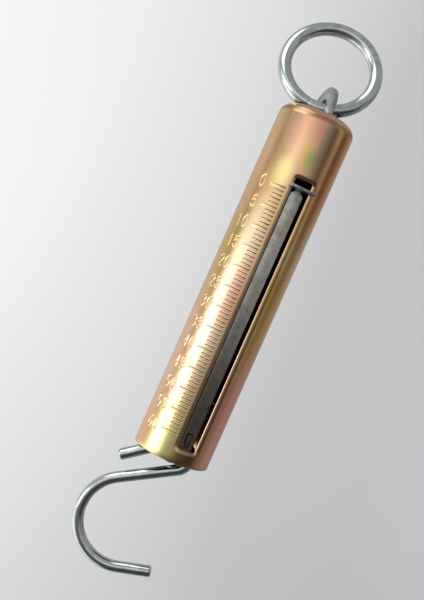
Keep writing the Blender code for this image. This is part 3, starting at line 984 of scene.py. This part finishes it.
# the room's light by direction: azimuth in degrees from the front, then brightness above and below level
roomLight = {
    "round": [
        (-180, 0.50, 0.62), (-154, 0.62, 0.76), (-135, 0.66, 0.76), (-122, 0.58, 0.70), (-112, 0.44, 0.66),
        (-104, 0.46, 0.90), (-96, 0.50, 2.20), (-88, 0.52, 3.30), (-74, 0.66, 3.40), (-64, 0.82, 2.50),
        (-55, 1.00, 1.00), (-46, 1.12, 0.50), (-37, 1.02, 0.36), (-28, 0.86, 0.33), (-19, 0.74, 0.28),
        (-8, 0.64, 0.16), (4, 0.56, 0.08), (17, 0.44, 0.05), (28, 0.34, 0.04), (38, 0.20, 0.04),
        (47, 0.10, 0.05), (56, 0.24, 0.10), (68, 0.42, 0.22), (78, 0.13, 0.24), (88, 0.14, 0.32),
        (100, 0.24, 0.36), (116, 0.36, 0.30), (145, 0.36, 0.34), (179.9, 0.50, 0.62),
    ],
    # the same, for light from well below
    "low": [
        (-180, 0.40), (-150, 1.00), (-118, 1.60), (-92, 1.30), (-64, 0.40), (-36, 0.12), (-19, 0.07),
        (35, 0.06), (70, 0.16), (120, 0.26), (179.9, 0.40),
    ],
    "overhead": 0.40,
    # heights of a direction, as sines, over which one light gives way to the next
    "level": (-0.20, 0.17), "high": (0.22, 0.60), "deep": (0.22, 0.36),
}


def light():
    room = roomLight
    world = bpy.data.worlds.new("softRoom")
    world.use_nodes = True
    world.node_tree.nodes.clear()
    s = Shader(world.node_tree)
    x, y, z = s.axes(s.add("ShaderNodeTexCoord"))
    turn = x.atan2(-y) / (2 * math.pi) + 0.5
    most = max(max(above, below) for azimuth, above, below in room["round"])
    above = s.ramp(turn, [(a / 360 + 0.5, b / most) for a, b, c in room["round"]])
    below = s.ramp(turn, [(a / 360 + 0.5, c / most) for a, b, c in room["round"]])
    low = s.ramp(turn, [(a / 360 + 0.5, b / most) for a, b in room["low"]])
    glow = s.mix(z.rise(*room["level"]), below, above)
    glow = s.mix(z.rise(*room["high"]), glow, (room["overhead"] / most,) * 3)
    glow = s.mix((-z).rise(*room["deep"]), glow, low)
    back = s.add("ShaderNodeBackground", None, {0: glow, 1: most})
    s.add("ShaderNodeOutputWorld", None, {0: back})
    bpy.context.scene.world = world


# a square lamp that looks at the middle of the tube; angles in degrees, lengths in metres
topPanel = {"azimuth": -82, "elevation": 47, "distance": 1.2, "side": 0.9, "power": 4.2, "aimHeight": -0.09}


def softPanel():
    lamp = bpy.data.lights.new("topPanel", "AREA")
    lamp.shape = "RECTANGLE"
    lamp.size = topPanel["side"]
    lamp.size_y = topPanel["side"]
    lamp.energy = topPanel["power"]
    panel = bpy.data.objects.new("topPanel", lamp)
    bpy.context.scene.collection.objects.link(panel)
    a, e = math.radians(topPanel["azimuth"]), math.radians(topPanel["elevation"])
    towards = Vector((math.sin(a) * math.cos(e), -math.cos(a) * math.cos(e), math.sin(e)))
    panel.location = Vector((0.0, 0.0, topPanel["aimHeight"])) + towards * topPanel["distance"]
    panel.rotation_euler = towards.to_track_quat("Z", "Y").to_euler()
    panel.visible_camera = False


# angles in degrees, lengths in metres, the sensor in mm
view = {
    "azimuth": -19.1, "distance": 0.355, "height": -0.0786, "aimAcross": -0.0100, "aimHeight": -0.0886,
    "roll": 23.8, "fieldOfView": 38.0, "sensor": 36.0, "clipStart": 0.01,
}


def camera():
    a = math.radians(view["azimuth"])
    back = Vector((math.sin(a), -math.cos(a), 0.0))
    across = Vector((math.cos(a), math.sin(a), 0.0))
    place = back * view["distance"] + Vector((0.0, 0.0, view["height"]))
    aim = across * view["aimAcross"] + Vector((0.0, 0.0, view["aimHeight"]))
    away = (place - aim).normalized()
    level = Vector((0.0, 0.0, 1.0)).cross(away).normalized()
    upright = away.cross(level)
    roll = math.radians(view["roll"])
    right = level * math.cos(roll) + upright * math.sin(roll)
    up = upright * math.cos(roll) - level * math.sin(roll)
    data = bpy.data.cameras.new("camera")
    data.sensor_width = view["sensor"]
    data.lens = view["sensor"] / 2 / math.tan(math.radians(view["fieldOfView"] / 2))
    data.clip_start = view["clipStart"]
    eye = bpy.data.objects.new("camera", data)
    bpy.context.scene.collection.objects.link(eye)
    turn = Matrix((right, up, away)).transposed().to_4x4()
    eye.matrix_world = Matrix.Translation(place) @ turn
    bpy.context.scene.camera = eye


stage()
light()
softPanel()
camera()
bpy.context.scene.view_settings.view_transform = "Standard"
print("stage, light and camera set")
